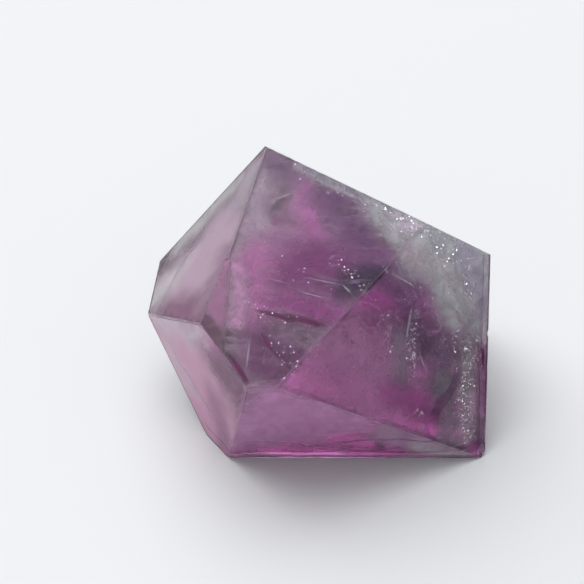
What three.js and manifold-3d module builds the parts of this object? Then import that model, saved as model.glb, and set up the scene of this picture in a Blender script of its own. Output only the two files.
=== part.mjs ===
// Fluorite freeform: one crystal, sawn flat underneath and ground to twelve flats.
// Millimetres, +Z up. It stands on its sawn foot, with the origin under its middle.

import * as THREE from 'three';
import { mergeVertices } from 'three/addons/utils/BufferGeometryUtils.js';
import Module from 'manifold-3d';

const wasm = await Module();
wasm.setup();

// Corners of the stone: [to the right, to the back, up].
const CORNER = {
  frontLeftFoot: [-18.8, -21.6, 0],
  frontRightFoot: [34.2, -21.6, 0],
  rightFoot: [35.2, -20.9, 0],
  backRightFoot: [30.6, 22.9, 0],
  backLeftFoot: [-8.8, 27.7, 0],
  leftFoot: [-23.7, -14.7, 0],
  frontShoulder: [-14.0, -28.4, 26.8],
  ridgeStart: [-8.5, -28.5, 26.9],
  ridgeEnd: [22.4, 4.5, 41.9],
  rightShoulder: [36.4, 6.2, 32.4],
  peak: [-10.8, 22.4, 48.7],
  backPeak: [-10.8, 23.2, 48.3],
  backTop: [-5.5, 26.0, 43.0],
  backLowLeft: [-16.6, 28.4, 7.9],
  leftBackTip: [-34.5, 17.5, 21.6],
  leftTip: [-36.4, 2.8, 18.4],
  sliverTop: [-18.5, -1.4, 38.2],
  sliverLeft: [-23.8, -14.9, 31.3],
  sliverFront: [-18.6, -22.1, 29.4],
};

// Each flat is ground through three of the corners.
const FLAT = {
  sawnFoot: ['frontLeftFoot', 'frontRightFoot', 'backRightFoot'],
  frontUndercut: ['frontLeftFoot', 'frontRightFoot', 'frontShoulder'],
  leftWall: ['frontLeftFoot', 'leftFoot', 'frontShoulder'],
  leftUndercut: ['leftFoot', 'leftTip', 'leftBackTip'],
  leftShoulder: ['peak', 'sliverTop', 'leftTip'],
  sliver: ['sliverTop', 'sliverLeft', 'sliverFront'],
  table: ['frontShoulder', 'ridgeStart', 'peak'],
  rightSlope: ['ridgeStart', 'frontRightFoot', 'rightShoulder'],
  roof: ['peak', 'ridgeEnd', 'rightShoulder'],
  rightWall: ['rightShoulder', 'rightFoot', 'backRightFoot'],
  backWall: ['backTop', 'backRightFoot', 'backLeftFoot'],
  backLeftWall: ['leftBackTip', 'backPeak', 'backLowLeft'],
};

// A point well inside the stone: every flat faces away from it.
const HEART = new THREE.Vector3(0, 0, 20);

// The rough block, and the grinding block that is larger than it on every side.
const ROUGH = { width: 90, depth: 80, height: 60 };
const GRINDER = 200;

// Small shell-shaped chips out of the sharp edges: where, the scoop's radius, and how deep it bites.
const CHIPS = [
  { at: [36.0, -4.3, 19.7], radius: 1.0, bite: 0.45 },
  { at: [35.8, -8.8, 14.2], radius: 0.7, bite: 0.25 },
  { at: [35.1, -20.8, 0.2], radius: 1.6, bite: 0.55 },
  { at: [25.4, 4.9, 39.8], radius: 1.8, bite: 0.45 },
  { at: [21.6, 4.9, 42.1], radius: 0.9, bite: 0.3 },
  { at: [-18.8, -2.3, 37.8], radius: 0.9, bite: 0.25 },
  { at: [-20.8, -7.2, 35.2], radius: 0.8, bite: 0.25 },
  { at: [-23.6, -15.0, 31.2], radius: 0.8, bite: 0.3 },
  { at: [-14.2, -28.2, 26.8], radius: 0.7, bite: 0.25 },
  { at: [-10.8, 22.4, 48.7], radius: 0.9, bite: 0.3 },
  { at: [-18.8, -21.7, 0.3], radius: 1.3, bite: 0.4 },
  { at: [-36.3, 2.9, 18.5], radius: 0.8, bite: 0.25 },
];

// Tiny nicks along the peak's right edge, spaced by hand: share of the way along it, and their bite.
const ROOF_EDGE_NICKS = [
  [0.05, 0.22],
  [0.16, 0.16],
  [0.21, 0.24],
  [0.31, 0.14],
  [0.38, 0.27],
  [0.47, 0.16],
  [0.62, 0.2],
  [0.78, 0.14],
];
const NICK_RADIUS = 0.6;

const UP = new THREE.Vector3(0, 0, 1);

function corner(name) {
  return new THREE.Vector3(...CORNER[name]);
}

// A closed three.js geometry as a manifold solid, moved to its place first.
function solid(geometry, matrix) {
  geometry.applyMatrix4(matrix);
  geometry.deleteAttribute('normal');
  geometry.deleteAttribute('uv');
  const merged = mergeVertices(geometry, 1e-4);
  return new wasm.Manifold(
    new wasm.Mesh({
      numProp: 3,
      vertProperties: new Float32Array(merged.attributes.position.array),
      triVerts: new Uint32Array(merged.index.array),
    }),
  );
}

// The block that grinds one flat: it lies on the flat, outside the stone.
function grinder(cornerNames) {
  const [a, b, c] = cornerNames.map(corner);
  const outward = new THREE.Plane().setFromCoplanarPoints(a, b, c).normal;
  if (outward.dot(HEART.clone().sub(a)) > 0) {
    outward.negate();
  }
  const middle = a.clone().addScaledVector(outward, GRINDER / 2);
  const turn = new THREE.Quaternion().setFromUnitVectors(UP, outward);
  const place = new THREE.Matrix4().compose(middle, turn, new THREE.Vector3(1, 1, 1));
  return solid(new THREE.BoxGeometry(GRINDER, GRINDER, GRINDER), place);
}

// The scoop that knocks one chip out of an edge, coming in from outside.
function scoop(at, radius, bite) {
  const outward = at.clone().sub(HEART).normalize();
  const middle = at.clone().addScaledVector(outward, radius - bite);
  const place = new THREE.Matrix4().setPosition(middle);
  return solid(new THREE.IcosahedronGeometry(radius, 1), place);
}

function groundStone() {
  const block = new THREE.BoxGeometry(ROUGH.width, ROUGH.depth, ROUGH.height);
  let stone = solid(block, new THREE.Matrix4().setPosition(0, 0, ROUGH.height / 2));
  for (const cornerNames of Object.values(FLAT)) {
    stone = stone.subtract(grinder(cornerNames));
  }
  return stone;
}

function chippedStone() {
  let stone = groundStone();
  for (const { at, radius, bite } of CHIPS) {
    stone = stone.subtract(scoop(new THREE.Vector3(...at), radius, bite));
  }
  for (const [share, bite] of ROOF_EDGE_NICKS) {
    const at = corner('peak').lerp(corner('ridgeEnd'), share);
    stone = stone.subtract(scoop(at, NICK_RADIUS, bite));
  }
  return stone;
}

// A manifold solid back as a geometry, with its bounding box centred over the origin.
function centredGeometry(stone) {
  const mesh = stone.getMesh();
  const geometry = new THREE.BufferGeometry();
  geometry.setAttribute('position', new THREE.BufferAttribute(mesh.vertProperties, mesh.numProp));
  geometry.setIndex(new THREE.BufferAttribute(mesh.triVerts, 1));
  geometry.computeBoundingBox();
  const { min, max } = geometry.boundingBox;
  geometry.translate(-(min.x + max.x) / 2, -(min.y + max.y) / 2, -min.z);
  geometry.computeVertexNormals();
  return geometry;
}

const fluoriteMaterial = new THREE.MeshStandardMaterial({
  color: 0x8f5c8c,
  roughness: 0.08,
  flatShading: true,
  metalness: 0,
});

const crystal = new THREE.Mesh(centredGeometry(chippedStone()), fluoriteMaterial);
crystal.name = 'fluorite_crystal';

const fluorite = new THREE.Group();
fluorite.add(crystal);

export default fluorite;
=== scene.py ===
"""A ground and polished fluorite polyhedron: clear lilac crystal around clouded purple growth zones."""

from contextlib import contextmanager
import math
import random

import bmesh
import bpy
from mathutils import Matrix, Vector
from mathutils.bvhtree import BVHTree
from mathutils.geometry import convex_hull_2d


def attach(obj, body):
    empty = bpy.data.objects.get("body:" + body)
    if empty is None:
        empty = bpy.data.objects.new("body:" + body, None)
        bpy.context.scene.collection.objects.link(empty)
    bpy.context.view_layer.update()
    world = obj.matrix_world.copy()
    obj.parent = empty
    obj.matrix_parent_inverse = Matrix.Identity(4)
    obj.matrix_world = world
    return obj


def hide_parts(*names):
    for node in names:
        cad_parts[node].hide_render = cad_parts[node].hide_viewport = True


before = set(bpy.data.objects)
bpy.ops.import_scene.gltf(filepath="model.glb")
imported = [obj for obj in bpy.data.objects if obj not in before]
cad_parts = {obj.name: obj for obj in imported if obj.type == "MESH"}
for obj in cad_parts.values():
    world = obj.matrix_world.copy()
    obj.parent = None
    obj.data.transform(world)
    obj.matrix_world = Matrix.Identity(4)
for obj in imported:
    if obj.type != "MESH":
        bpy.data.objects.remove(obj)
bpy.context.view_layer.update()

MM = 0.001
STONE = "fluorite_crystal"
HEART = Vector((1.7, 2.9, 18.5)) * MM

# The camera: its frame is 584 units square, and its lens is 1500 of those units long.
FRAME_SIZE = 584
LENS_UNITS = 1500
EYE = Vector((-5.42, -240.5, 229.18)) * MM
LOOK_DOWN = 40

FLUORITE_IOR = 1.434
CLEAR_TINT = (0.7, 0.42, 0.62)
CLEAR_DENSITY = 25

SKY_BRIGHT_SIDE = Vector((-0.3, 0.56, 0.77))
SKY_EDGE = 0.7
SKY_DIM = 0.36
SKY_BRIGHT = 4.1
SKY_COLOUR = (0.95, 0.97, 1.0)
FLOOR_TONE = (0.8, 0.8, 0.8)
FLOOR_SIZE = 4
FLOOR_MIDDLE = (0, 0.5, -0.1 * MM)

BOUNCES = dict(
    max_bounces=18,
    diffuse_bounces=4,
    glossy_bounces=8,
    transmission_bounces=18,
    transparent_max_bounces=48,
)

# The round on the ridges, and how small a facet may be to get it.
RIDGE_ROUND = 0.07 * MM
LEAST_FACET = 20 * MM * MM
# What lies inside the stone stays within the stone's own shape at this scale.
ROOM_SCALE = 0.991
# Walls of the thin shells, and the distance by which a layer stops short of its facet's outline.
SHEET_WALL = 0.25 * MM
BASE_WALL = 0.2 * MM
FINE_WALL = 0.08 * MM
LAYER_MARGIN = 0.02 * MM
# Sides of a facet shorter than this are chips. Faces turned so nearly its way (as a cosine) and lying so
# near its plane are part of it.
SHORTEST_SIDE = 1 * MM
SAME_WAY = 0.9999
SAME_PLANE = 0.02 * MM
SMOOTH_ANGLE = 60


# --- node helpers

def feed(socket, value):
    """Gives an input its value: another node's output is linked to it, and anything else is set on it."""
    if isinstance(value, bpy.types.NodeSocket):
        socket.id_data.links.new(value, socket)
    elif socket.type == "RGBA":
        socket.default_value = (*value, 1)
    else:
        socket.default_value = value


def set_all(thing, **values):
    for name, value in values.items():
        setattr(thing, name, value)
    return thing


def add_node(tree, kind, **settings):
    return set_all(tree.nodes.new("ShaderNode" + kind), **settings)


def set_inputs(node, **values):
    for name, value in values.items():
        feed(node.inputs[name.replace("_", " ")], value)
    return node


def feed_in_order(node, values):
    for socket, value in zip(node.inputs, values):
        feed(socket, value)


def maths(tree, operation, *values, clamp=False):
    node = add_node(tree, "Math", operation=operation, use_clamp=clamp)
    feed_in_order(node, values)
    return node.outputs[0]


def vectors(tree, operation, *values):
    node = add_node(tree, "VectorMath", operation=operation)
    feed_in_order(node, values)
    gives_number = operation in ("DOT_PRODUCT", "LENGTH", "DISTANCE")
    return node.outputs["Value" if gives_number else "Vector"]


def remap(tree, value, old, new=(0, 1), smooth=False):
    """Stretches a value from one range to another, and stops at its ends."""
    node = add_node(tree, "MapRange", interpolation_type="SMOOTHSTEP" if smooth else "LINEAR")
    set_inputs(node, Value=value, From_Min=old[0], From_Max=old[1], To_Min=new[0], To_Max=new[1])
    return node.outputs["Result"]


def mix(tree, factor, first, second):
    """Blends two tints."""
    node = add_node(tree, "Mix", data_type="RGBA")
    set_inputs(node, Factor=factor, A=first, B=second)
    return node.outputs["Result"]


def separate(tree, vector):
    node = add_node(tree, "SeparateXYZ")
    feed(node.inputs[0], vector)
    return node.outputs


def combine(tree, *values):
    node = add_node(tree, "CombineXYZ")
    feed_in_order(node, values)
    return node.outputs[0]


def object_place(tree):
    """Where a point lies in the part's own frame."""
    return add_node(tree, "TexCoord").outputs["Object"]


def noise(tree, scale, detail, vector=None, **values):
    """Cloud noise over the part's own frame, or over another vector."""
    node = add_node(tree, "TexNoise")
    set_inputs(node, Vector=vector or object_place(tree), Scale=scale, Detail=detail, **values)
    return node.outputs


def new_group(name, floats, vector_names=()):
    """An empty node group that takes numbers and vectors and puts out one mask."""
    group = bpy.data.node_groups.new(name, "ShaderNodeTree")
    for socket in vector_names:
        group.interface.new_socket(socket, in_out="INPUT", socket_type="NodeSocketVector")
    for socket in floats:
        group.interface.new_socket(socket, in_out="INPUT", socket_type="NodeSocketFloat")
    group.interface.new_socket("Mask", in_out="OUTPUT", socket_type="NodeSocketFloat")
    taken = group.nodes.new("NodeGroupInput").outputs
    given = group.nodes.new("NodeGroupOutput").inputs
    return group, taken, given["Mask"]


def add_group(tree, group, **values):
    node = tree.nodes.new("ShaderNodeGroup")
    node.node_tree = group
    return set_inputs(node, **values).outputs["Mask"]


def new_material(name):
    material = bpy.data.materials.new(name)
    material.use_nodes = True
    return material, material.node_tree, material.node_tree.nodes["Principled BSDF"]


# --- setting

def add_camera():
    """The camera looks down at the stone from straight in front of it."""
    data = bpy.data.cameras.new("camera")
    data.sensor_width = 36
    data.lens = data.sensor_width * LENS_UNITS / FRAME_SIZE
    data.clip_start = 0.01
    camera = bpy.data.objects.new("camera", data)
    bpy.context.collection.objects.link(camera)
    camera.location = EYE
    camera.rotation_euler = (math.radians(90 - LOOK_DOWN), 0, 0)
    bpy.context.scene.camera = camera


def add_sky():
    """A soft studio sky, brightest above and behind the stone."""
    world = bpy.data.worlds.new("studio")
    world.use_nodes = True
    tree = world.node_tree
    toward = vectors(tree, "DOT_PRODUCT", add_node(tree, "TexCoord").outputs["Generated"], SKY_BRIGHT_SIDE)
    glow = remap(tree, toward, (SKY_EDGE, 1), (SKY_DIM, SKY_BRIGHT), smooth=True)
    set_inputs(tree.nodes["Background"], Color=SKY_COLOUR, Strength=glow)
    bpy.context.scene.world = world


def set_light_paths():
    """Enough bounces for light to find its way out of the nested clear bodies."""
    set_all(bpy.context.scene.cycles, **BOUNCES)
    bpy.context.scene.view_settings.view_transform = "Standard"


# --- where things lie

def stone_surface():
    """The stone's faces, for finding where a line of sight enters it."""
    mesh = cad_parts[STONE].data
    points = [v.co.copy() for v in mesh.vertices]
    return BVHTree.FromPolygons(points, [tuple(p.vertices) for p in mesh.polygons])


SURFACE = stone_surface()


def sight_line(across, down):
    """Direction in which the camera sees a place in its frame, counted from the top left."""
    tilt = math.radians(LOOK_DOWN)
    ahead = Vector((0, math.cos(tilt), -math.sin(tilt)))
    above = Vector((0, math.sin(tilt), math.cos(tilt)))
    middle = FRAME_SIZE / 2
    aside = Vector((1, 0, 0)) * ((across - middle) / LENS_UNITS)
    return (ahead + aside - above * ((down - middle) / LENS_UNITS)).normalized()


def look_in(across, down):
    """Where a line of sight enters the stone, and its direction once the surface has bent it."""
    sight = sight_line(across, down)
    entry, normal, _, _ = SURFACE.ray_cast(EYE, sight)
    if entry is None:
        raise ValueError(f"nothing of the stone is seen at {across}, {down}")
    facing = -sight.dot(normal)
    bent = math.sqrt(1 - (1 - facing * facing) / FLUORITE_IOR**2)
    inside = sight / FLUORITE_IOR + normal * (facing / FLUORITE_IOR - bent)
    return entry, inside.normalized()


def glint_facing(across, down):
    """The way a flake under a facet has to face to show the bright side of the sky."""
    _, normal, _, _ = SURFACE.ray_cast(EYE, sight_line(across, down))
    light = SKY_BRIGHT_SIDE.normalized()
    lift = light.dot(normal)
    bent = math.sqrt(1 - (1 - lift * lift) / FLUORITE_IOR**2)
    from_light = normal * (lift / FLUORITE_IOR - bent) - light / FLUORITE_IOR
    return -(look_in(across, down)[1] + from_light).normalized()


def seen_at(across, down, depth):
    """The point inside the stone seen at a place in the frame, so many millimetres under the facet."""
    entry, inside = look_in(across, down)
    return entry + inside * depth * MM


def at_depth(rows, depth):
    """A table's rows with one depth, in mm, put to the places at both their ends."""
    return {name: ((*start, depth), (*end, depth), *rest) for name, (start, end, *rest) in rows.items()}


def between(start, end, share):
    """The point so far along from start to end."""
    return [a + (b - a) * share for a, b in zip(start, end)]


def strewn(draw, spread):
    """A random step to any side."""
    return Vector([draw.gauss(0, spread) for _ in range(3)])


def facing_turn(long_way, sight):
    """The turn that lays a sheet's length along one way and its face across the line of sight."""
    side = sight.cross(long_way).normalized()
    return Matrix((long_way, side, long_way.cross(side))).transposed().to_4x4()


def outside(point, room):
    """True if a point lies outside a closed mesh."""
    _, spot, normal, _ = room.closest_point_on_mesh(point)
    return (point - spot).dot(normal) > 0


def room_left(point):
    """How far inside the stone's surface a point lies; less than nothing outside it."""
    spot, normal, _, _ = SURFACE.find_nearest(point)
    return (spot - point).dot(normal)


# --- node groups

# How fast strands change through the stone, and how far a zone's edge wanders, in its own softness.
STRAND_DRIFT = (61, 83, 97)
ZONE_WANDER = 2.6
# The filaments of the milky layers: how many to the metre, their tint, how they are turned about the
# first two axes, in radians, and how they are drawn out along the first.
WISP_SCALE = 230
WISP_TINT = (0.86, 0.54, 0.82)
WISP_TILT = (0.3, 0.2)
WISP_STRETCH = (0.4, 1, 1)


def make_patch_mask():
    """Group: a soft ragged-edged mask over a patch's own UV square, 1 in the middle and 0 at its rim."""
    group, taken, given = new_group("patch_mask", ("Inner", "Ragged", "Grain"))
    uv = add_node(group, "UVMap", uv_map="UVMap").outputs["UV"]
    reach = vectors(group, "LENGTH", vectors(group, "MULTIPLY_ADD", uv, (2, 2, 0), (-1, -1, 0)))
    rag = noise(group, taken["Grain"], detail=3)["Fac"]
    push = maths(group, "MULTIPLY_ADD", rag, taken["Ragged"], reach)
    ragged = maths(group, "MULTIPLY_ADD", taken["Ragged"], -0.5, push)
    fade = remap(group, ragged, (taken["Inner"], 1), (1, 0), smooth=True)
    rim = remap(group, reach, (0.85, 1), (1, 0), smooth=True)
    feed(given, maths(group, "MULTIPLY", fade, rim))
    return group


def make_strands():
    """Group: fine strands that run the length of a patch, from 0 to 1."""
    group, taken, given = new_group("strands", ("Along", "Across", "Low", "High"))
    uv = add_node(group, "UVMap", uv_map="UVMap").outputs["UV"]
    sway = noise(group, scale=110, detail=2)["Color"]
    spot = separate(group, vectors(group, "MULTIPLY_ADD", sway, (0.5, 0.5, 0), uv))
    along = maths(group, "MULTIPLY", spot["X"], taken["Along"])
    across = maths(group, "MULTIPLY", spot["Y"], taken["Across"])
    drift = vectors(group, "DOT_PRODUCT", object_place(group), STRAND_DRIFT)
    stretched = combine(group, along, across, drift)
    lines = noise(group, 1, 5, stretched, Roughness=0.65, Distortion=0.35)["Fac"]
    feed(given, remap(group, lines, (taken["Low"], taken["High"]), smooth=True))
    return group


def make_zone():
    """Group: 1 close to a line from Start to End inside the stone, falling softly to 0 outside it."""
    group, taken, given = new_group("zone", ("Radius", "Soft"), ("Start", "End", "Wander"))
    push = maths(group, "MULTIPLY", taken["Soft"], ZONE_WANDER)
    moved = vectors(group, "MULTIPLY_ADD", taken["Wander"], push, object_place(group))
    way = vectors(group, "SUBTRACT", moved, taken["Start"])
    line = vectors(group, "SUBTRACT", taken["End"], taken["Start"])
    reach = vectors(group, "DOT_PRODUCT", way, line)
    whole = vectors(group, "DOT_PRODUCT", line, line)
    share = maths(group, "DIVIDE", reach, whole, clamp=True)
    gap = vectors(group, "DISTANCE", way, vectors(group, "MULTIPLY", line, share))
    near = maths(group, "SUBTRACT", taken["Radius"], taken["Soft"])
    far = maths(group, "ADD", taken["Radius"], taken["Soft"])
    feed(given, remap(group, gap, (near, far), (1, 0), smooth=True))
    return group


def make_wisps():
    """Group: fine curling filaments that run mostly one way, from 0 to 1."""
    group, taken, given = new_group("wisps", ("Scale", "Turn"))
    stretch = add_node(group, "Mapping")
    set_inputs(stretch, Vector=object_place(group), Scale=WISP_STRETCH)
    set_inputs(stretch, Rotation=combine(group, *WISP_TILT, taken["Turn"]))
    lines = add_node(group, "TexNoise", noise_type="RIDGED_MULTIFRACTAL")
    set_inputs(lines, Vector=stretch.outputs[0], Scale=taken["Scale"], Detail=5, Roughness=0.55)
    set_inputs(lines, Distortion=0.7, Offset=1, Gain=1)
    feed(given, remap(group, lines.outputs["Fac"], (0.95, 2.1), smooth=True))
    return group


# --- modelling helpers

def select_only(piece):
    bpy.ops.object.select_all(action="DESELECT")
    piece.select_set(True)
    bpy.context.view_layer.objects.active = piece


@contextmanager
def editing(piece, action="SELECT"):
    """Edit mode on one piece, with all of it selected or nothing."""
    select_only(piece)
    bpy.ops.object.mode_set(mode="EDIT")
    bpy.ops.mesh.select_all(action=action)
    yield
    bpy.ops.object.mode_set(mode="OBJECT")


def settle(piece, material=None, smooth=None):
    """Puts a piece's place into its mesh and gives it its finish."""
    select_only(piece)
    bpy.ops.object.transform_apply(location=True, rotation=True, scale=True)
    if material is not None:
        piece.data.materials.clear()
        piece.data.materials.append(material)
    if smooth is not None:
        bpy.ops.object.shade_smooth_by_angle(angle=math.radians(smooth))


def register(piece):
    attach(piece, "root")


def finish_piece(piece, material, smooth=SMOOTH_ANGLE):
    settle(piece, material, smooth)
    register(piece)


def modify(piece, kind, **settings):
    """Changes a mesh by one modifier."""
    modifier = set_all(piece.modifiers.new(kind, kind), **settings)
    select_only(piece)
    bpy.ops.object.modifier_apply(modifier=modifier.name)


def copy_of_stone(name):
    """The CAD stone's mesh as a new object with its loose triangles joined up."""
    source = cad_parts[STONE]
    piece = bpy.data.objects.new(name, source.data.copy())
    bpy.context.collection.objects.link(piece)
    with editing(piece):
        bpy.ops.mesh.remove_doubles(threshold=1e-6)
        bpy.ops.mesh.dissolve_limited(angle_limit=math.radians(0.6))
    return piece


def scale_about(piece, centre, factor):
    """Shrinks or grows a mesh about a point."""
    with editing(piece):
        bpy.ops.transform.resize(value=(factor, factor, factor), center_override=centre)


def cut_to(piece, room):
    """Keeps only the part of a closed piece that lies inside another closed mesh."""
    if any(outside(v.co, room) for v in piece.data.vertices):
        modify(piece, "BOOLEAN", operation="INTERSECT", object=room, solver="EXACT")


def ruffle(piece, height, size):
    """Pushes a mesh in and out along its normals by a cloud pattern."""
    clouds = set_all(bpy.data.textures.new(piece.name, "CLOUDS"), noise_scale=size, noise_depth=2)
    modify(piece, "DISPLACE", texture=clouds, texture_coords="GLOBAL", strength=height, mid_level=0.5)


def give_wall(piece, thickness):
    """Turns a sheet into a thin closed shell."""
    modify(piece, "SOLIDIFY", thickness=thickness, offset=0)


def bend_sheet(piece, axis, degrees):
    if degrees:
        angle = math.radians(degrees)
        modify(piece, "SIMPLE_DEFORM", deform_method="BEND", deform_axis=axis, angle=angle)


def add_sheet(name, cuts, size=1, place=(0, 0, 0), turn=(0, 0, 0)):
    """A flat sheet with a UV square over it, divided so many times each way."""
    bpy.ops.mesh.primitive_grid_add(
        x_subdivisions=cuts[0], y_subdivisions=cuts[1], size=size, location=place, rotation=turn,
    )
    sheet = bpy.context.object
    sheet.name = name
    settle(sheet)
    return sheet


def soften_ridges(piece, width, least_facet):
    """A fine polished round on each edge between two facets that aren't small."""
    with editing(piece, "DESELECT"):
        bpy.ops.mesh.select_mode(type="EDGE")
        mesh = bmesh.from_edit_mesh(piece.data)
        for edge in mesh.edges:
            faces = edge.link_faces
            edge.select = len(faces) == 2 and min(f.calc_area() for f in faces) > least_facet
        bmesh.update_edit_mesh(piece.data)
        bpy.ops.mesh.bevel(offset=width, segments=2, affect="EDGES", clamp_overlap=False, material=1)


def join(name, parts):
    """Joins finished parts into one piece."""
    select_only(parts[0])
    for part in parts[1:]:
        part.select_set(True)
    if len(parts) > 1:
        bpy.ops.object.join()
    piece = bpy.context.view_layer.objects.active
    piece.name = name
    return piece


def stamp(body, mesh, place):
    """Adds a shape to a growing mesh, and gives its new points."""
    before = len(body.verts)
    body.from_mesh(mesh)
    body.verts.ensure_lookup_table()
    fresh = body.verts[before:]
    bmesh.ops.transform(body, matrix=place, verts=fresh)
    return fresh


# --- materials

def absorb(tree):
    """The crystal's plain absorption, inside its closed body."""
    volume = set_inputs(add_node(tree, "VolumeAbsorption"), Color=CLEAR_TINT, Density=CLEAR_DENSITY)
    feed(tree.nodes["Material Output"].inputs["Volume"], volume.outputs["Volume"])


def polished_fluorite():
    """Clear crystal whose hand polish is a little duller in some places than in others."""
    material, tree, shader = new_material("polished_fluorite")
    smears = noise(tree, scale=90, detail=4, Roughness=0.6)["Fac"]
    matt = remap(tree, smears, (0.35, 0.7), (0.015, 0.06))
    set_inputs(shader, Base_Color=(1, 0.98, 1), Roughness=matt, Transmission_Weight=1, IOR=FLUORITE_IOR)
    absorb(tree)
    return material


def rubbed_edge_and_painted_highlight():
    """The fine rounds between facets: rubbed a little matt, more in some places than others, and tinted
    whitish, which is partly painted highlight along the ridges.
    """
    material, tree, shader = new_material("rubbed_edge_and_painted_highlight")
    matt = remap(tree, noise(tree, scale=300, detail=3)["Fac"], (0.35, 0.65), (0.3, 0.5))
    # Whitish tint on the rounds: partly rubbed wear, partly painted highlight along the ridges.
    set_inputs(shader, Base_Color=(0.95, 0.84, 0.92), Roughness=matt)
    set_inputs(shader, Transmission_Weight=0.86, IOR=FLUORITE_IOR)
    absorb(tree)
    return material


# The growth zones: the way they follow each other, how far they bend, and each one's place and tint.
ZONE_AXIS = Vector((0.85, 0.38, 0.38))
ZONE_BEND = 22 * MM
ZONE_TINTS = (
    (-24, (0.97, 0.93, 0.955)),
    (-10, (0.96, 0.86, 0.93)),
    (2, (0.93, 0.7, 0.87)),
    (12, (0.88, 0.55, 0.83)),
    (20, (0.77, 0.42, 0.72)),
    (25, (0.72, 0.52, 0.7)),
    (32, (0.92, 0.92, 0.92)),
    (42, (0.95, 0.97, 0.95)),
)
CLOUDY_BODY = dict(Transmission_Weight=0.97, IOR=1.06, Roughness=0.5)
MILKY_BODY = dict(Roughness=0.8, IOR=1.1)


def zone_ramp(tree, place):
    """The growth zones' tints, one after another along the way they follow."""
    lowest, highest = ZONE_TINTS[0][0], ZONE_TINTS[-1][0]
    ramp = add_node(tree, "ValToRGB")
    feed(ramp.inputs["Fac"], remap(tree, place, (lowest * MM, highest * MM)))
    ramp.color_ramp.interpolation = "B_SPLINE"
    marks = ramp.color_ramp.elements
    while len(marks) < len(ZONE_TINTS):
        marks.new(0.5)
    for mark, (at, tint) in zip(marks, ZONE_TINTS):
        mark.position = (at - lowest) / (highest - lowest)
        mark.color = (*tint, 1)
    return ramp.outputs["Color"]


def clouded_zones():
    """Cloudy tint that follows the growth zones across the stone."""
    material, tree, shader = new_material("clouded_zones")
    along = vectors(tree, "DOT_PRODUCT", object_place(tree), ZONE_AXIS)
    warp = noise(tree, scale=70, detail=4)["Fac"]
    bend = maths(tree, "MULTIPLY_ADD", warp, ZONE_BEND, -ZONE_BEND / 2)
    zones = zone_ramp(tree, maths(tree, "ADD", along, bend))
    wisps = noise(tree, scale=160, detail=5, Distortion=1.2)["Fac"]
    veil = remap(tree, wisps, (0.35, 0.75), smooth=True)
    set_inputs(shader, Base_Color=mix(tree, veil, zones, (1, 0.97, 1)), **CLOUDY_BODY)
    return material


def base_tint():
    """Cloudy pink of the layer over the foot."""
    material, tree, shader = new_material("base_tint")
    blotch = noise(tree, scale=110, detail=5, Distortion=0.6)["Fac"]
    tint = mix(tree, blotch, (0.72, 0.46, 0.66), (0.86, 0.62, 0.8))
    set_inputs(shader, Base_Color=tint, **CLOUDY_BODY)
    return material


def patch_cover(tree, masks, patch, strands, least, most):
    """How much of a patch shows: its ragged outline times the strands that run along it."""
    outline = add_group(tree, masks["patch"], **patch)
    lines = add_group(tree, masks["strands"], **strands)
    return maths(tree, "MULTIPLY", outline, remap(tree, lines, (0, 1), (least, most)))


def tint_cloud(name, tint, masks, inner=0.2, low=0.3, high=0.62, least=0.4):
    """A patch that only colours the light that passes it."""
    material, tree, shader = new_material(name)
    patch = dict(Inner=inner, Ragged=0.9, Grain=260)
    strands = dict(Along=1.6, Across=7, Low=low, High=high)
    depth = patch_cover(tree, masks, patch, strands, least, 1)
    set_inputs(shader, Base_Color=mix(tree, depth, (1, 1, 1), tint))
    set_inputs(shader, Transmission_Weight=1, IOR=1.0, Roughness=0.0)
    return material


def haze(name, tints, masks, patch, strands, least, most):
    """A milky veil: tiny fluid inclusions that scatter light, thin at the rim."""
    material, tree, shader = new_material(name)
    cover = patch_cover(tree, masks, patch, strands, least, most)
    tint = mix(tree, noise(tree, scale=180, detail=3)["Fac"], *tints)
    set_inputs(shader, Base_Color=tint, Alpha=cover, Roughness=0.7, IOR=1.2)
    return material


def blend_zones(tree, zones, masks):
    """Tint and amount over a layer: each zone brings its own, and later zones lie over earlier ones."""
    wander = vectors(tree, "SUBTRACT", noise(tree, scale=130, detail=3)["Color"], (0.5, 0.5, 0.5))
    tint, cover = None, 0
    for start, end, radius, soft, colour, strength in zones.values():
        ends = dict(Start=seen_at(*start), End=seen_at(*end), Wander=wander)
        mask = add_group(tree, masks["zone"], Radius=radius * MM, Soft=soft * MM, **ends)
        tint = mix(tree, mask, tint or colour, colour)
        cover = maths(tree, "MAXIMUM", maths(tree, "MULTIPLY", mask, strength), cover)
    return tint, cover


def milk(name, zones, masks, scale, low, high, thinnest, wispy, turn):
    """Milky layer, clear outside its zones, with pale filaments all over it. Under the left facets and along
    the foot, some zones' tints are painted light, sheen and shade.
    """
    material, tree, shader = new_material(name)
    tint, cover = blend_zones(tree, zones, masks)
    cloud = noise(tree, scale, detail=5, Roughness=0.62, Distortion=0.8)["Fac"]
    thick = remap(tree, cloud, (low, high), (thinnest, 1), smooth=True)
    alpha = maths(tree, "MULTIPLY", cover, thick)
    wisps = add_group(tree, masks["wisps"], Scale=WISP_SCALE, Turn=turn)
    drawn = maths(tree, "MULTIPLY", wisps, wispy)
    set_inputs(shader, Alpha=maths(tree, "MAXIMUM", alpha, drawn))
    set_inputs(shader, Base_Color=mix(tree, drawn, tint, WISP_TINT), **MILKY_BODY)
    return material


def end_veil():
    """Dusky veil under the blunt end wall, paler where it is thicker."""
    material, tree, shader = new_material("end_veil")
    cloud = noise(tree, scale=140, detail=5, Roughness=0.6, Distortion=1.0)["Fac"]
    tint = mix(tree, cloud, (0.46, 0.24, 0.44), (0.84, 0.74, 0.83))
    cover = remap(tree, cloud, (0.3, 0.7), (0.3, 0.7))
    set_inputs(shader, Base_Color=tint, Alpha=cover, **MILKY_BODY)
    return material


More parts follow.
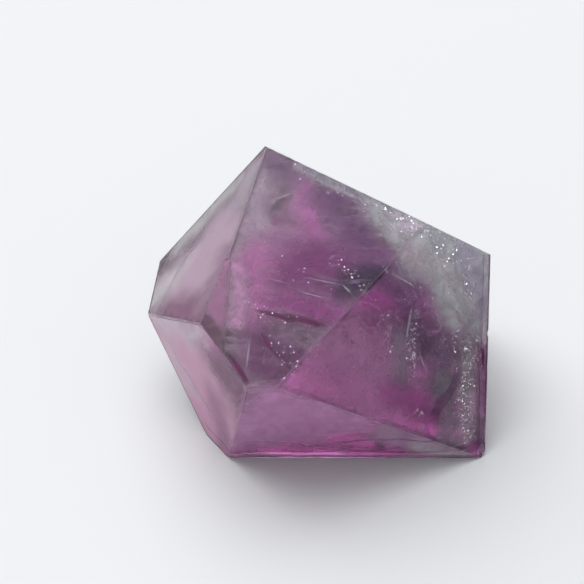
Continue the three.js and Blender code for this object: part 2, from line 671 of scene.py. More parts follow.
# The size of the tiny fracture faces, so many to the metre, and how far each may lean.
FLAKE_SCALE = 2300
FLAKE_LEAN = (1.1, 1.1, 1.1)
FLAKE_LEAN_FROM = (-0.55, -0.45, -0.45)


def glitter(name, zones, masks):
    """Crowds of tiny fracture faces, each turned its own way. A zone's amount is how many there are."""
    material, tree, shader = new_material(name)
    tint, amount = blend_zones(tree, zones, masks)
    cells = set_inputs(add_node(tree, "TexVoronoi"), Vector=object_place(tree), Scale=FLAKE_SCALE).outputs
    chosen = maths(tree, "LESS_THAN", separate(tree, cells["Color"])["X"], amount)
    rim = remap(tree, cells["Distance"], (0.3, 0.42), (1, 0))
    lean = vectors(tree, "MULTIPLY_ADD", cells["Color"], FLAKE_LEAN, FLAKE_LEAN_FROM)
    facing = vectors(tree, "ADD", add_node(tree, "NewGeometry").outputs["Normal"], lean)
    set_inputs(shader, Alpha=maths(tree, "MULTIPLY", chosen, rim), Normal=vectors(tree, "NORMALIZE", facing))
    set_inputs(shader, Base_Color=tint, Metallic=1, Roughness=0.2)
    return material


def pale_thread(masks):
    """Whitish threads, thin at both ends."""
    material, tree, shader = new_material("pale_thread")
    mask = add_group(tree, masks["patch"], Inner=0.0, Ragged=0.5, Grain=500)
    tone = noise(tree, scale=120, detail=2)["Fac"]
    tint = mix(tree, tone, (0.8, 0.62, 0.78), (0.97, 0.94, 0.98))
    set_inputs(shader, Base_Color=tint, Alpha=maths(tree, "MULTIPLY", mask, 0.5), Roughness=0.6, IOR=1.2)
    return material


def bright_flake():
    """Mirror-like little fracture faces."""
    material, tree, shader = new_material("bright_flake")
    tint = mix(tree, noise(tree, scale=900, detail=1)["Fac"], (0.95, 0.82, 0.95), (1, 1, 1))
    set_inputs(shader, Base_Color=tint, Metallic=1, Roughness=0.25)
    return material


def floor_finish():
    material, _, shader = new_material("pale_floor")
    set_inputs(shader, Base_Color=FLOOR_TONE, Roughness=0.8)
    return material


# --- the stone

def add_floor():
    bpy.ops.mesh.primitive_plane_add(size=FLOOR_SIZE, location=FLOOR_MIDDLE)
    floor = bpy.context.object
    floor.name = "floor"
    settle(floor, floor_finish())


def make_crystal():
    """The stone itself, polished, with its ridges rubbed and tinted whitish, partly as painted highlight."""
    crystal = copy_of_stone("crystal")
    crystal.data.materials.clear()
    crystal.data.materials.append(polished_fluorite())
    crystal.data.materials.append(rubbed_edge_and_painted_highlight())
    soften_ridges(crystal, RIDGE_ROUND, LEAST_FACET)
    settle(crystal)
    register(crystal)
    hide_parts(STONE)


# The growth sheets: the way they face, how far along it from the stone's heart each one lies in mm, and how
# high they are ruffled over how long a stretch.
SHEET_NORMAL = Vector((-0.08, -0.6, 0.8)).normalized()
SHEET_OFFSETS = (-16, -9, -2, 5)
SHEET_RUFFLE = (7 * MM, 14 * MM)
BASE_RUFFLE = (2 * MM, 8 * MM)
BASE_HEIGHT = 2.4 * MM
# Sheets are made wider than the stone and cut to it. Each is divided so many times.
SHEET_SIZE, SHEET_CUTS = 100 * MM, (56, 56)
LAYER_SIZE, LAYER_CUTS = 84 * MM, (40, 40)
PATCH_CUTS = (28, 14)
RIBBON_CUTS = (16, 1)
# How long a stretch the waves of a patch and of a layer take, and a layer's highest wave, in mm.
PATCH_WAVE = 4 * MM
LAYER_WAVE = 6 * MM
LAYER_RISE = 0.4


def make_cloud_sheets(room, material):
    """Clouded growth sheets, one behind another through the whole stone."""
    turn = SHEET_NORMAL.to_track_quat("Z", "Y").to_euler()
    for index, offset in enumerate(SHEET_OFFSETS):
        place = HEART + SHEET_NORMAL * offset * MM
        sheet = add_sheet(f"cloud_sheet_{index + 1}", SHEET_CUTS, SHEET_SIZE, place, turn)
        ruffle(sheet, *SHEET_RUFFLE)
        give_wall(sheet, SHEET_WALL)
        cut_to(sheet, room)
        finish_piece(sheet, material)


def make_base_cloud(room, material):
    """A tinted layer just above the foot."""
    cloud = add_sheet("base_cloud", LAYER_CUTS, LAYER_SIZE, (0, 0, BASE_HEIGHT))
    ruffle(cloud, *BASE_RUFFLE)
    give_wall(cloud, BASE_WALL)
    cut_to(cloud, room)
    finish_piece(cloud, material)


def add_patch(name, start, end, width, room, roll=0, arc=0, wave=0):
    """A curved sheet from start to end. Both are places in the frame with a depth under the facet."""
    first, last = seen_at(*start), seen_at(*end)
    long_way = (last - first).normalized()
    sight = look_in((start[0] + end[0]) / 2, (start[1] + end[1]) / 2)[1]
    turn = Matrix.Rotation(math.radians(roll), 4, long_way) @ facing_turn(long_way, sight)
    patch = add_sheet(name, PATCH_CUTS)
    patch.scale = ((last - first).length, width * MM, 1)
    settle(patch)
    bend_sheet(patch, "Z", arc)
    patch.matrix_world = Matrix.Translation((first + last) / 2) @ turn
    settle(patch)
    if wave:
        ruffle(patch, wave * MM, PATCH_WAVE)
    give_wall(patch, FINE_WALL)
    cut_to(patch, room)
    return patch


def make_patches(name, rows, room, material, **shared):
    """One piece made of a row of patches."""
    parts = []
    for label, (start, end, width, *rest) in rows.items():
        options = {**shared, **(rest[0] if rest else {})}
        parts.append(add_patch(f"{name}_{label}", start, end, width, room, **options))
    finish_piece(join(name, parts), material)


def facet_outline(spot, normal):
    """Corners of the flat facet that a point lies on, in order around it."""
    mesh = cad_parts[STONE].data
    rim = []
    for face in mesh.polygons:
        if face.normal.dot(normal) > SAME_WAY and abs((face.center - spot).dot(normal)) < SAME_PLANE:
            rim.extend(mesh.vertices[i].co.copy() for i in face.vertices)
    turn = normal.to_track_quat("Z", "Y").inverted()
    return [rim[i] for i in convex_hull_2d([(turn @ corner).to_2d() for corner in rim])]


def trim_to_facet(layer, outline, inside):
    """Cuts a sheet so that it is seen only through its own facet."""
    middle = sum(outline, Vector()) / len(outline)
    with editing(layer):
        for start, end in zip(outline, outline[1:] + outline[:1]):
            if (end - start).length < SHORTEST_SIDE:
                continue
            outward = (end - start).cross(inside).normalized()
            if outward.dot(start - middle) < 0:
                outward.negate()
            bpy.ops.mesh.select_all(action="SELECT")
            bpy.ops.mesh.bisect(plane_co=start - outward * LAYER_MARGIN, plane_no=outward, clear_outer=True)


def facet_sheet(name, spot, normal, inside, depth, room):
    """A slightly uneven sheet so many millimetres under a facet, trimmed to the facet's outline."""
    turn = normal.to_track_quat("Z", "Y").to_euler()
    layer = add_sheet(name, LAYER_CUTS, LAYER_SIZE, spot - normal * depth * MM, turn)
    trim_to_facet(layer, facet_outline(spot, normal), inside)
    ruffle(layer, LAYER_RISE * min(depth, 1) * MM, LAYER_WAVE)
    give_wall(layer, FINE_WALL)
    cut_to(layer, room)
    return layer


def make_layers(name, facet, depths, room, material):
    """One piece made of sheets under the facet that is seen at a place in the frame."""
    spot, normal, _, _ = SURFACE.ray_cast(EYE, sight_line(*facet))
    inside = look_in(*facet)[1]
    parts = [facet_sheet(f"{name}_{depth}", spot, normal, inside, depth, room) for depth in depths]
    finish_piece(join(name, parts), material)


def make_end_layer(name, depth, room, material):
    """A layer under the blunt end wall."""
    spot, normal, _, _ = SURFACE.ray_cast(HEART, Vector((1, 0, 0)))
    finish_piece(facet_sheet(name, spot, normal, -normal, depth, room), material)


# --- what lies where

# Places in the frame at which each facet is seen.
TABLE = (300, 250)
LEFT_FACET = (205, 250)
LOW_LEFT_FACET = (190, 370)
SLIVER_FACET = (215, 320)
RIGHT_FACET = (420, 330)
FRONT_FACET = (330, 430)

# Each zone: start, end (frame across, frame down, depth in mm), radius, softness in mm, tint, cover.
# Where a table is used with at_depth, its places are without the depth.
SHALLOW = 0.5
# Under the left facet the layer is nearly opaque. Its pale grey rim and upper edges are partly milky haze and
# partly painted sheen, and the dark strip along its foot is painted shade.
MILK_WITH_PAINTED_LIGHT_LEFT = {
    "lilac_body": ((180, 288), (222, 236), 10, 7, (0.65, 0.47, 0.58), 0.98),
    "pale_left_rim": ((160, 290), (178, 268), 4, 4, (0.76, 0.7, 0.72), 0.98),
    "grey_upper_edge": ((176, 246), (240, 180), 2.5, 2.5, (0.61, 0.59, 0.6), 0.98),
    "grey_peak": ((240, 196), (258, 168), 4, 3, (0.54, 0.45, 0.52), 0.96),
    "painted_shade_foot": ((165, 316), (200, 312), 4.5, 3.4, (0.29, 0.08, 0.2), 0.98),
    "dusky_ridge": ((202, 300), (228, 250), 2.6, 3, (0.44, 0.23, 0.37), 0.96),
}
# Under the lower left facet the layer is nearly opaque. Its bright pink is partly painted light, standing in
# for light that the facet passes out from inside the stone. It is palest along the top edge and corner and
# darker at the lower ridge.
MILK_WITH_PAINTED_LIGHT_LOW_LEFT = {
    "pink_body": ((170, 345), (222, 438), 13, 5, (1, 0.58, 0.81), 0.98),
    "pale_corner": ((156, 322), (200, 334), 3, 4, (1, 0.86, 0.96), 1),
    "pale_outer_edge": ((168, 345), (190, 388), 2.5, 2.5, (1, 0.76, 0.9), 0.98),
    "dark_lower_ridge": ((216, 405), (226, 448), 4, 3, (0.64, 0.3, 0.52), 0.98),
}
MILK_TABLE = {
    "pale_left_ridge": ((236, 252, 3), (262, 172, 3), 3.5, 3, (0.95, 0.8, 0.93), 0.5),
    "plum_middle": ((290, 262, 3), (345, 268, 3), 8, 5, (0.4, 0.04, 0.34), 0.5),
    "pink_left_side": ((256, 320, 3), (256, 250, 3), 3.4, 3, (0.96, 0.34, 0.78), 0.5),
    "pink_left_rim": ((238, 268, 2), (236, 320, 2), 2, 1.6, (1, 0.56, 0.88), 0.8),
    "pink_plume": ((304, 178, 3), (312, 226, 3), 3, 3, (1, 0.26, 0.82), 0.55),
    "violet_diagonal": ((326, 190, 3), (372, 262, 3), 4, 2.5, (0.42, 0.13, 0.42), 0.4),
    "ink_diagonal": ((336, 200, 3), (366, 242, 3), 1.6, 1.6, (0.2, 0.04, 0.24), 0.5),
    "plum_over_streak": ((282, 302, 2), (332, 312, 2), 4, 3, (0.62, 0.12, 0.5), 0.6),
    "dusk_lower_corner": ((262, 352, 3), (296, 366, 3), 6, 3, (0.34, 0.1, 0.3), 0.42),
    "dusk_peak": ((272, 162, 3), (290, 176, 3), 3, 2.5, (0.4, 0.18, 0.4), 0.4),
    "ink_by_ridge": ((350, 284, 2), (374, 274, 2), 3, 2.2, (0.06, 0.01, 0.1), 0.9),
    "grey_top_edge": ((300, 168, 2), (420, 226, 2), 1.6, 1.2, (0.5, 0.48, 0.54), 0.8),
    "greenish_haze": ((372, 212, 3), (402, 244, 3), 2.2, 2, (0.82, 0.92, 0.86), 0.6),
    "white_haze": ((405, 228, 3), (424, 236, 3), 3.6, 3, (0.96, 0.94, 0.98), 0.8),
}
MILK_SLIVER = {
    "plum_upper_end": ((216, 325, 1), (230, 262, 1), 2, 2, (0.64, 0.24, 0.5), 0.7),
    "dark_lower_end": ((206, 322, 1), (226, 352, 1), 1.7, 0.8, (0.15, 0.02, 0.09), 0.92),
}
MILK_RIGHT = {
    "pink_body": ((320, 370, 3), (400, 385, 3), 12, 6, (0.96, 0.48, 0.84), 0.38),
    "dark_top_corner": ((374, 274, 3), (396, 292, 3), 3, 2.5, (0.28, 0.08, 0.27), 0.45),
    "violet_band": ((392, 270, 3), (424, 350, 3), 4, 3, (0.35, 0.2, 0.38), 0.3),
    "white_haze": ((428, 238, 3), (486, 290, 3), 9, 3.5, (0.95, 1, 1), 1),
    "greenish_haze": ((438, 266, 3), (462, 322, 3), 4.4, 3, (0.92, 0.97, 0.96), 0.8),
    "pink_haze_rim": ((404, 250, 3), (432, 268, 3), 2, 2, (0.98, 0.84, 0.9), 0.6),
    "lilac_right_rim": ((464, 256, 2), (485, 312, 2), 3, 1.6, (0.82, 0.78, 0.9), 0.75),
    "bright_haze_edge": ((434, 262, 3), (484, 340, 3), 2.4, 1.6, (1, 1, 1), 1),
    "pink_middle": ((338, 345, 2), (372, 362, 2), 3.6, 3, (1, 0.55, 0.88), 0.4),
    "grey_line": ((402, 340, 2), (398, 385, 2), 2.4, 2.4, (0.7, 0.6, 0.74), 0.4),
    "plum_low_spot": ((392, 396, 2), (440, 408, 2), 2.6, 2.4, (0.5, 0.14, 0.42), 0.34),
    "dark_band": ((442, 345, 3), (448, 425, 3), 3, 2.5, (0.5, 0.33, 0.52), 0.5),
    "grey_band": ((444, 388, 2), (450, 440, 2), 3.6, 2.4, (0.46, 0.4, 0.48), 0.65),
    "speckled_strip": ((464, 345, 2), (468, 440, 2), 2.6, 1.4, (0.68, 0.64, 0.68), 0.6),
    "violet_right_rim": ((483, 350, 1), (483, 425, 1), 1, 1, (0.6, 0.34, 0.54), 0.7),
    "dusk_low_corner": ((478, 425, 3), (482, 448, 3), 2.5, 2, (0.52, 0.44, 0.52), 0.9),
}
MILK_FRONT = {
    "pink_body": ((236, 430, 2), (330, 412, 2), 9, 5, (1, 0.56, 0.92), 0.8),
    "pink_lower_edge": ((240, 447, 2), (345, 449, 2), 1.6, 1.4, (1, 0.42, 0.84), 0.5),
    "lilac_right_end": ((385, 435, 2), (476, 449, 2), 5, 4, (0.84, 0.6, 0.82), 0.7),
    "plum_lower_edge": ((345, 450, 2), (400, 451, 2), 1.4, 1.2, (0.62, 0.3, 0.54), 0.65),
    # Near white, to make up for the dim light that reaches this corner: painted light.
    "painted_light_right_corner": ((420, 447, 2), (478, 452, 2), 2.4, 1.6, (1, 0.94, 1), 0.98),
    # A thin paler strip along the foot, pink to the left and grey to the right: painted highlight where the
    # foot meets the floor.
    "painted_highlight_foot_left": ((236, 457, 0.5), (400, 457, 0.5), 1, 0.6, (0.8, 0.56, 0.74), 1),
    "painted_highlight_foot_right": ((400, 457, 0.5), (478, 456, 0.5), 1, 0.6, (0.74, 0.64, 0.72), 1),
}
# Each row: a piece's name, its facet, its layers' depths in mm, its zones, and its grain: clouds to the
# metre, lowest and highest noise, how much cover the thin parts keep, how strong its filaments are and
# how far they are turned, in radians.
LAYERS = (
    ("milk_with_painted_light_left", LEFT_FACET, (SHALLOW,), at_depth(MILK_WITH_PAINTED_LIGHT_LEFT, SHALLOW),
     dict(scale=60, low=0.2, high=0.8, thinnest=0.96, wispy=0.08, turn=0.9)),
    ("milk_with_painted_light_low_left", LOW_LEFT_FACET, (SHALLOW,), at_depth(MILK_WITH_PAINTED_LIGHT_LOW_LEFT, SHALLOW),
     dict(scale=80, low=0.2, high=0.8, thinnest=0.95, wispy=0.1, turn=1.2)),
    ("milk_table", TABLE, (1.2, 3.4), MILK_TABLE,
     dict(scale=300, low=0.36, high=0.66, thinnest=0.45, wispy=0.42, turn=0.2)),
    ("milk_sliver", SLIVER_FACET, (SHALLOW,), MILK_SLIVER,
     dict(scale=200, low=0.3, high=0.7, thinnest=0.7, wispy=0.2, turn=1.2)),
    ("milk_right", RIGHT_FACET, (1.2, 3.4), MILK_RIGHT,
     dict(scale=300, low=0.36, high=0.64, thinnest=0.62, wispy=0.46, turn=1.1)),
    ("milk_front", FRONT_FACET, (SHALLOW, 2.6), MILK_FRONT,
     dict(scale=200, low=0.34, high=0.7, thinnest=0.6, wispy=0.3, turn=0.1)),
)
END_VEIL_DEPTH = 1.5

# Each zone: as above, with the share of the tiny faces that shine in place of the cover.
GLITTER_TABLE = {
    "top_edge": ((296, 166), (420, 226), 1.6, 2, (1, 0.92, 1), 0.16),
    "right_corner": ((410, 222), (424, 238), 3, 2, (1, 0.92, 1), 0.3),
    "by_ridge": ((330, 255), (368, 290), 2, 2, (0.95, 0.85, 1), 0.08),
    "over_streak": ((256, 306), (300, 330), 3, 3, (1, 0.8, 0.96), 0.05),
    "lower_corner": ((272, 350), (300, 378), 2.5, 2.5, (1, 0.85, 0.98), 0.09),
    "whole_facet": ((245, 200), (330, 280), 14, 6, (1, 0.85, 0.98), 0.012),
}
GLITTER_RIGHT = {
    "whole_facet": ((330, 370), (400, 380), 14, 6, (1, 0.8, 0.96), 0.02),
    "top_corner": ((430, 228), (450, 250), 3, 2, (1, 0.92, 1), 0.3),
    "haze": ((440, 250), (484, 320), 8, 4, (0.95, 0.97, 1), 0.03),
    "haze_crack": ((464, 278), (472, 302), 0.8, 0.8, (1, 0.95, 1), 0.25),
    "ridge_top": ((388, 268), (424, 296), 2.5, 2, (1, 0.85, 1), 0.12),
    "long_crack": ((418, 300), (410, 378), 1.6, 1.4, (1, 0.92, 1), 0.26),
    "short_crack": ((386, 312), (390, 352), 0.9, 0.8, (1, 0.9, 1), 0.26),
    "strip_top": ((460, 342), (476, 362), 2, 1.4, (1, 0.95, 0.98), 0.4),
    "rough_strip": ((464, 365), (468, 440), 2, 1.2, (0.98, 1, 0.92), 0.5),
    "low_left": ((330, 420), (345, 420), 1, 1, (1, 0.9, 1), 0.1),
}
GLITTER_FRONT = {
    "upper_rim": ((355, 442), (376, 438), 1, 0.8, (1, 0.95, 1), 0.4),
    "middle": ((380, 436), (396, 446), 1.4, 1.2, (1, 0.95, 1), 0.2),
    "lower_edge": ((250, 446), (340, 448), 1.2, 1.2, (1, 0.8, 0.96), 0.05),
    "right_end": ((400, 440), (476, 451), 2, 2, (0.95, 0.9, 0.95), 0.06),
}
GLITTER_LAYERS = (
    ("glitter_table", TABLE, 0.8, GLITTER_TABLE),
    ("glitter_right", RIGHT_FACET, 0.8, GLITTER_RIGHT),
    ("glitter_front", FRONT_FACET, 0.7, GLITTER_FRONT),
)
GLITTER_DEPTH = 1

# Each patch: start, end (frame across, frame down, depth in mm), width in mm, and what it has of its own:
# how far it is rolled or bent, in degrees, and how high it is ruffled, in mm.
VIOLET_CLOUDS = {
    "upper_diagonal": ((312, 172, 3), (384, 282, 5), 11, dict(roll=15)),
    "deep_diagonal": ((326, 186, 5), (376, 262, 7), 9, dict(roll=-20)),
    "right_band": ((390, 285, 4), (422, 365, 6), 10, dict(roll=20)),
    "right_band_foot": ((420, 335, 5), (452, 410, 7), 10, dict(roll=-15)),
    "across_right_band": ((418, 348, 3), (480, 354, 4), 5, dict(roll=10)),
    "haze_foot": ((385, 256, 3), (430, 318, 5), 9),
    "sliver": ((207, 316, 2.6), (252, 384, 2.6), 2.6, dict(wave=0.1)),
    "peak": ((266, 158, 3), (300, 185, 4), 8),
    "lower_corner": ((252, 335, 5), (305, 368, 6), 11),
    "middle": ((300, 255, 6), (372, 300, 8), 12, dict(roll=10)),
}
INK_CLOUDS = {
    "by_ridge": ((345, 268, 5), (385, 294, 6), 6, dict(roll=10)),
    "upper_diagonal": ((330, 196, 4), (366, 244, 5), 4, dict(roll=-10)),
    "right_band": ((395, 325, 6), (408, 385, 7), 4, dict(roll=-10)),
    "dark_band": ((438, 350, 6), (452, 425, 7), 6, dict(roll=10)),
    "lower_corner": ((280, 350, 5), (306, 374, 6), 3, dict(roll=10)),
}
MAGENTA_CLOUDS = {
    "plume": ((298, 165, 4), (318, 250, 6), 9, dict(roll=10)),
    "table_middle": ((275, 235, 6), (345, 300, 8), 14, dict(roll=-10)),
    "right_foot": ((300, 360, 7), (400, 400, 8), 16, dict(roll=10)),
    "right_top": ((330, 300, 7), (400, 350, 8), 14, dict(roll=-10)),
    "front_lower_edge": ((236, 447, 3), (345, 450, 3), 5),
    "front": ((250, 425, 8), (460, 440, 8), 14),
    "plum_low_spot": ((398, 392, 5), (442, 402, 6), 7),
    "table_left": ((252, 330, 5), (262, 240, 6), 8, dict(roll=10)),
    "table_deep": ((250, 320, 9), (340, 290, 9), 18),
    "front_left": ((215, 395, 6), (236, 445, 6), 8),
}
RED_CLOUDS = {
    "streak": ((254, 309, 2.4), (334, 328, 2.4), 2.4),
    "streak_middle": ((286, 320, 2.6), (340, 330, 2.6), 3.4),
    "streak_core": ((296, 322, 2.8), (336, 330, 2.8), 2.6),
    "ridge_crossing": ((324, 330, 2.4), (352, 340, 2.4), 2),
    "streak_end": ((340, 336, 2.6), (354, 342, 2.6), 2.4),
    "short_streak": ((262, 332, 2.4), (274, 354, 2.4), 1.8),
    "short_streak_end": ((272, 350, 2.4), (296, 372, 2.4), 1.8),
    "front_mark": ((370, 446, 2.4), (390, 449, 2.4), 3, dict(wave=0)),
    "right_rim": ((483, 345, 2), (483, 425, 2), 2.4),
    "band_mark": ((440, 350, 2.4), (462, 352, 2.4), 1.8),
    "plume_top": ((316, 172, 2.6), (330, 196, 2.6), 3),
}
# Deep red streaks close under the surface.
RED_STREAKS = {
    "streak": ((274, 314), (334, 331), 2.7),
    "streak_start": ((252, 309), (300, 321), 1.1),
    "ridge_crossing": ((312, 325), (359, 345), 1.5),
    "short_streak": ((260, 331), (276, 355), 1),
    "short_streak_end": ((272, 350), (299, 376), 1.2),
    "sliver_streak": ((226, 350), (251, 387), 1.4),
    "front_mark": ((374, 441), (386, 450), 1.6),
    "right_rim_mark": ((483, 344), (483, 372), 0.8),
}
# Pale healed cracks and streaks close under the surface.
PALE_STREAKS = {
    "haze_crack": ((436, 256), (485, 332), 0.9),
    "haze_band": ((440, 262), (485, 345), 2.6),
    "haze_band_foot": ((448, 300), (485, 347), 1.6),
    "cross_down": ((462, 280), (475, 305), 0.5),
    "cross_up": ((476, 280), (464, 306), 0.5),
    "ink_scratch": ((341, 283), (354, 296), 0.6),
    "table_scratch": ((298, 276), (347, 286), 0.5),
    "lower_left_crack": ((251, 328), (243, 384), 0.6),
    "haze_flow": ((374, 206), (402, 240), 1.3),
    "top_edge_veil": ((300, 172), (372, 205), 1),
    "ridge_flow": ((383, 268), (424, 292), 0.9),
    "right_facet_crack": ((413, 300), (404, 352), 0.8),
}
STREAK_DEPTH = 0.9
STREAK_WAVE = 0.1
# Wide, faint veils that lie a few millimetres under the big facets.
BROAD_VEILS = {
    "table_top": ((240, 250, 3), (352, 196, 4), 18, dict(wave=2.0, arc=20)),
    "table_middle": ((236, 300, 5), (372, 262, 6), 18, dict(roll=8, wave=2.0, arc=-30)),
    "table_foot": ((245, 345, 4), (360, 300, 7), 18, dict(roll=-10, wave=2.0, arc=40)),
    "right_left": ((330, 395, 3), (420, 310, 4), 20, dict(roll=6, wave=2.0, arc=-20)),
    "right_edge": ((440, 240, 5), (400, 430, 6), 20, dict(roll=-8, wave=2.0)),
    "right_middle": ((360, 300, 6), (350, 425, 6), 16, dict(roll=10, wave=2.0)),
    "front": ((240, 418, 6), (450, 440, 6), 14, dict(wave=1.2)),
    "low_left": ((165, 330, 5), (240, 425, 5), 13, dict(wave=1.2)),
}
# Each bundle: start, end (frame across, frame down, depth in mm), spread in mm, count, length, width in
# mm, and the way the threads run in the frame, in degrees from straight across.
THREAD_CLUSTERS = {
    "right_left_line": ((374, 340, 3.5), (364, 425, 4), 1.6, 16, 9, 0.5, 95),
    "right_middle_line": ((388, 318, 3), (392, 372, 4), 2, 8, 6, 0.4, 80),
    "table_middle": ((285, 285, 3), (360, 285, 4), 2.5, 12, 9, 0.4, -8),
    "table_top": ((280, 250, 3), (350, 245, 4), 3, 12, 9, 0.4, 20),
    "over_streak": ((265, 300, 3), (330, 306, 4), 3, 12, 9, 0.4, -14),
    "by_ridge": ((340, 265, 3), (368, 300, 4), 1.8, 10, 7, 0.4, -50),
    "haze_long": ((438, 252, 2.5), (484, 325, 2.5), 1.5, 16, 8, 0.5, -62),
    "haze_cross": ((432, 268, 3), (478, 318, 3), 2, 12, 8, 0.5, -35),
    "lower_left": ((246, 335, 2.5), (240, 378, 2.5), 1, 6, 9, 0.35, 96),
    "lower_left_fan": ((268, 345, 3), (262, 380, 3), 1.6, 8, 7, 0.35, 75),
    "right_band": ((420, 320, 3.5), (420, 390, 4), 3, 10, 6, 0.4, 112),
    "right_rim": ((474, 345, 2), (480, 420, 2), 0.8, 10, 6, 0.4, 96),
    "left_ridge": ((236, 230, 2), (262, 172, 2), 1.5, 12, 9, 0.35, 65),
    "front_lower_edge": ((250, 443, 2.5), (340, 447, 2.5), 1, 16, 7, 0.35, 4),
    "haze_top": ((400, 222, 2), (470, 262, 2.5), 2, 16, 7, 0.4, -28),
    "top_edge": ((310, 176, 2), (400, 222, 2), 1.2, 16, 6, 0.35, -26),
    "right_foot": ((300, 400, 4), (420, 425, 5), 4, 14, 8, 0.4, -20),
}
# The threads' curved shapes: how far each is bent along its length and across it, in degrees. Their wall is
# a share of their size.
THREAD_BENDS = ((35, 10), (-30, 20), (14, -24), (-12, -8))
THREAD_WALL = 0.01
# How far threads sway from their bundle's way and roll about their own, in degrees, and how long and wide
# they come out, as shares of what their bundle gives.
THREAD_SWAY = 9
THREAD_ROLL = 25
THREAD_LENGTHS = (0.5, 1.2)
THREAD_WIDTHS = (0.6, 1.4)
THREAD_SEED = 11
# Each crowd: start, end (frame across, frame down), spread in mm, count, size in mm.
GLINT_CLUSTERS = {
    "top_edge": ((300, 170), (420, 228), 3, 160, 0.16),
    "top_sparkle": ((384, 209), (386, 210), 0.4, 5, 0.4),
    "top_sparkle_low": ((399, 215), (400, 217), 0.4, 4, 0.3),
    "haze_top": ((410, 224), (444, 248), 4, 150, 0.2),
    "ridge_top": ((384, 270), (420, 292), 4, 70, 0.16),
    "long_crack": ((418, 300), (410, 378), 2.2, 170, 0.19),
    "short_crack": ((386, 312), (390, 352), 1.3, 80, 0.17),
    "strip_top": ((456, 340), (476, 362), 3, 170, 0.24),
    "rough_strip": ((460, 365), (466, 442), 3, 460, 0.2),
    "band_top": ((440, 335), (446, 360), 2.2, 50, 0.16),
    "by_ridge": ((330, 255), (370, 292), 2, 60, 0.16),
    "over_streak": ((250, 300), (300, 330), 4, 90, 0.17),
    "lower_corner": ((268, 338), (300, 376), 3, 90, 0.15),
    "right_body": ((300, 370), (400, 415), 9, 150, 0.14),
    "right_middle": ((350, 330), (400, 360), 7, 90, 0.13),
    "front_rim": ((355, 440), (376, 440), 1.2, 70, 0.2),
    "front_middle": ((380, 438), (394, 444), 1.5, 40, 0.17),
    "low_sparkle": ((418, 410), (424, 416), 0.7, 14, 0.32),
    "table_body": ((240, 230), (330, 290), 8, 140, 0.12),
    "right_edge_mark": ((472, 255), (468, 270), 0.8, 22, 0.24),
    "haze_crack": ((462, 278), (472, 300), 1, 50, 0.15),
    "haze_body": ((430, 255), (480, 320), 7, 90, 0.12),
}
GLINT_DEPTH = 0.9
# The least stone over a flake, how far it leans off the sky's bright side, and, as shares, its thickness and
# how small and how narrow it may come out.
GLINT_COVER = 0.4 * MM
GLINT_LEAN = 0.16
GLINT_THICKNESS = 0.16
GLINT_SIZES = (0.35, 1)
GLINT_WIDTHS = (0.25, 1)
GLINT_SEED = 7


def ribbon(name, arc, curl):
    """One curved thread, 1 long and 1 wide, with a thin closed wall."""
    strip = add_sheet(name, RIBBON_CUTS)
    bend_sheet(strip, "Z", arc)
    bend_sheet(strip, "Y", curl)
    give_wall(strip, THREAD_WALL)
    return strip


def make_threads(clusters, room, material):
    """Fine pale threads in bundles that run the same way."""
    draw = random.Random(THREAD_SEED)
    shapes = [ribbon(f"ribbon_{arc}", arc, curl) for arc, curl in THREAD_BENDS]
    body = bmesh.new()
    for start, end, spread, count, length, width, slant in clusters.values():
        for _ in range(count):
            across, down, depth = between(start, end, draw.random())
            spot = seen_at(across, down, depth)
            middle = spot + strewn(draw, spread * MM / 2)
            way = math.radians(slant + draw.gauss(0, THREAD_SWAY))
            ahead = seen_at(across + math.cos(way), down - math.sin(way), depth) - spot
            turn = facing_turn(ahead.normalized(), look_in(across, down)[1])
            turn = turn @ Matrix.Rotation(math.radians(draw.gauss(0, THREAD_ROLL)), 4, "X")
            far = length * MM * draw.uniform(*THREAD_LENGTHS)
            size = Matrix.Diagonal((far, width * MM * draw.uniform(*THREAD_WIDTHS), far, 1))
            shape = draw.choice(shapes)
            fresh = stamp(body, shape.data, Matrix.Translation(middle) @ turn @ size)
            if any(outside(v.co, room) for v in fresh):
                bmesh.ops.delete(body, geom=fresh, context="VERTS")
                body.verts.ensure_lookup_table()
    threads = shapes[0]
    body.to_mesh(threads.data)
    body.free()
    for shape in shapes[1:]:
        bpy.data.objects.remove(shape)
    threads.name = "pale_threads"
    finish_piece(threads, material)


def make_glints(clusters, material):
    """Scattered flakes: each is a thin six-sided plate turned partly to the sky."""
    draw = random.Random(GLINT_SEED)
    bpy.ops.mesh.primitive_cylinder_add(vertices=6, radius=1, depth=GLINT_THICKNESS)
    plate = bpy.context.object
    body = bmesh.new()
    for start, end, spread, count, size in clusters.values():
        for _ in range(count):
            across, down, depth = between(start, end, draw.random())
            step = strewn(draw, spread * MM / 2)
            sight = look_in(across, down)[1]
            middle = seen_at(across, down, depth) + step - sight * step.dot(sight)
            facing = glint_facing(across, down) + strewn(draw, GLINT_LEAN)
            turn = facing.to_track_quat("Z", "Y").to_matrix().to_4x4()
            turn = turn @ Matrix.Rotation(draw.uniform(0, math.tau), 4, "Z")
            radius = size * MM * draw.uniform(*GLINT_SIZES)
            shape = Matrix.Diagonal((radius, radius * draw.uniform(*GLINT_WIDTHS), radius, 1))
            if room_left(middle) > radius + GLINT_COVER:
                stamp(body, plate.data, Matrix.Translation(middle) @ turn @ shape)
    body.to_mesh(plate.data)
    body.free()
    plate.name = "glints"
    finish_piece(plate, material, smooth=None)


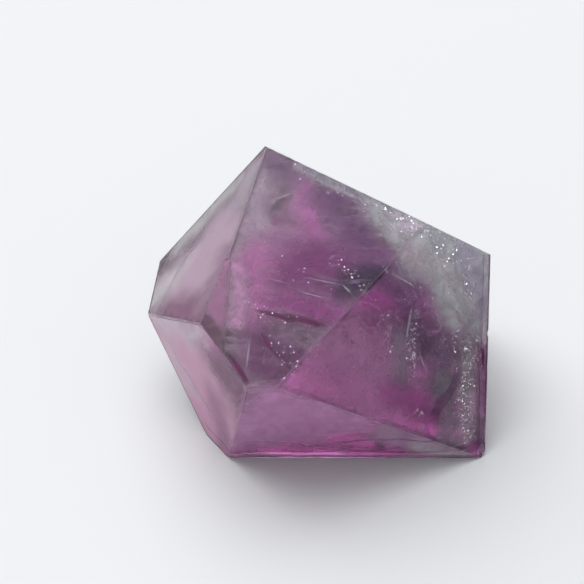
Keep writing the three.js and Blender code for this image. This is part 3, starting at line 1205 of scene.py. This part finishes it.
# Each row: a piece, its patches and how high they are ruffled in mm, its material, its tint, and what that
# has of its own.
TINT_CLOUDS = (
    ("violet_clouds", VIOLET_CLOUDS, 0.6, "violet_cloud", (0.7, 0.48, 0.74), {}),
    ("ink_clouds", INK_CLOUDS, 0.6, "ink_cloud", (0.62, 0.5, 0.7), {}),
    ("magenta_clouds", MAGENTA_CLOUDS, 0.6, "magenta_cloud", (0.93, 0.6, 0.86), {}),
    ("red_clouds", RED_CLOUDS, 0.2, "red_cloud", (0.74, 0.18, 0.6),
     dict(inner=0.3, low=0.2, high=0.5, least=0.7)),
)
BROAD_VEIL = dict(
    tints=((0.6, 0.25, 0.52), (0.72, 0.45, 0.68)),
    patch=dict(Inner=0.4, Ragged=0.7, Grain=120),
    strands=dict(Along=3, Across=9, Low=0.35, High=0.75),
    least=0.026,
    most=0.26,
)
RED_STREAK = dict(
    tints=((0.16, 0.004, 0.1), (0.34, 0.01, 0.22)),
    patch=dict(Inner=0.35, Ragged=0.35, Grain=520),
    strands=dict(Along=1.6, Across=3, Low=0.2, High=0.5),
    least=0.63,
    most=0.9,
)
PALE_STREAK = dict(
    tints=((0.8, 0.76, 0.84), (1, 1, 1)),
    patch=dict(Inner=0.2, Ragged=0.5, Grain=420),
    strands=dict(Along=1.6, Across=5, Low=0.3, High=0.65),
    least=0.124,
    most=0.62,
)


def make_inside(room, masks):
    """All that is seen in the stone, from its growth sheets to the flakes close under its facets."""
    make_cloud_sheets(room, clouded_zones())
    make_base_cloud(room, base_tint())
    for name, rows, wave, finish, tint, own in TINT_CLOUDS:
        make_patches(name, rows, room, tint_cloud(finish, tint, masks, **own), wave=wave)
    for name, facet, depths, zones, grain in LAYERS:
        make_layers(name, facet, depths, room, milk(name, zones, masks, **grain))
    make_end_layer("milk_end", END_VEIL_DEPTH, room, end_veil())
    for name, facet, depth, zones in GLITTER_LAYERS:
        make_layers(name, facet, (depth,), room, glitter(name, at_depth(zones, GLITTER_DEPTH), masks))
    make_patches("broad_veils", BROAD_VEILS, room, haze("broad_veil", masks=masks, **BROAD_VEIL))
    red, pale = haze("red_streak", masks=masks, **RED_STREAK), haze("pale_streak", masks=masks, **PALE_STREAK)
    make_patches("red_streaks", at_depth(RED_STREAKS, STREAK_DEPTH), room, red, wave=STREAK_WAVE)
    make_patches("pale_streaks", at_depth(PALE_STREAKS, STREAK_DEPTH), room, pale, wave=STREAK_WAVE)
    make_threads(THREAD_CLUSTERS, room, pale_thread(masks))
    make_glints(at_depth(GLINT_CLUSTERS, GLINT_DEPTH), bright_flake())


add_camera()
set_light_paths()
add_sky()
add_floor()
make_crystal()
room = copy_of_stone("room")
scale_about(room, HEART, ROOM_SCALE)
masks = {"patch": make_patch_mask(), "strands": make_strands(), "zone": make_zone(), "wisps": make_wisps()}
make_inside(room, masks)
bpy.data.objects.remove(room)
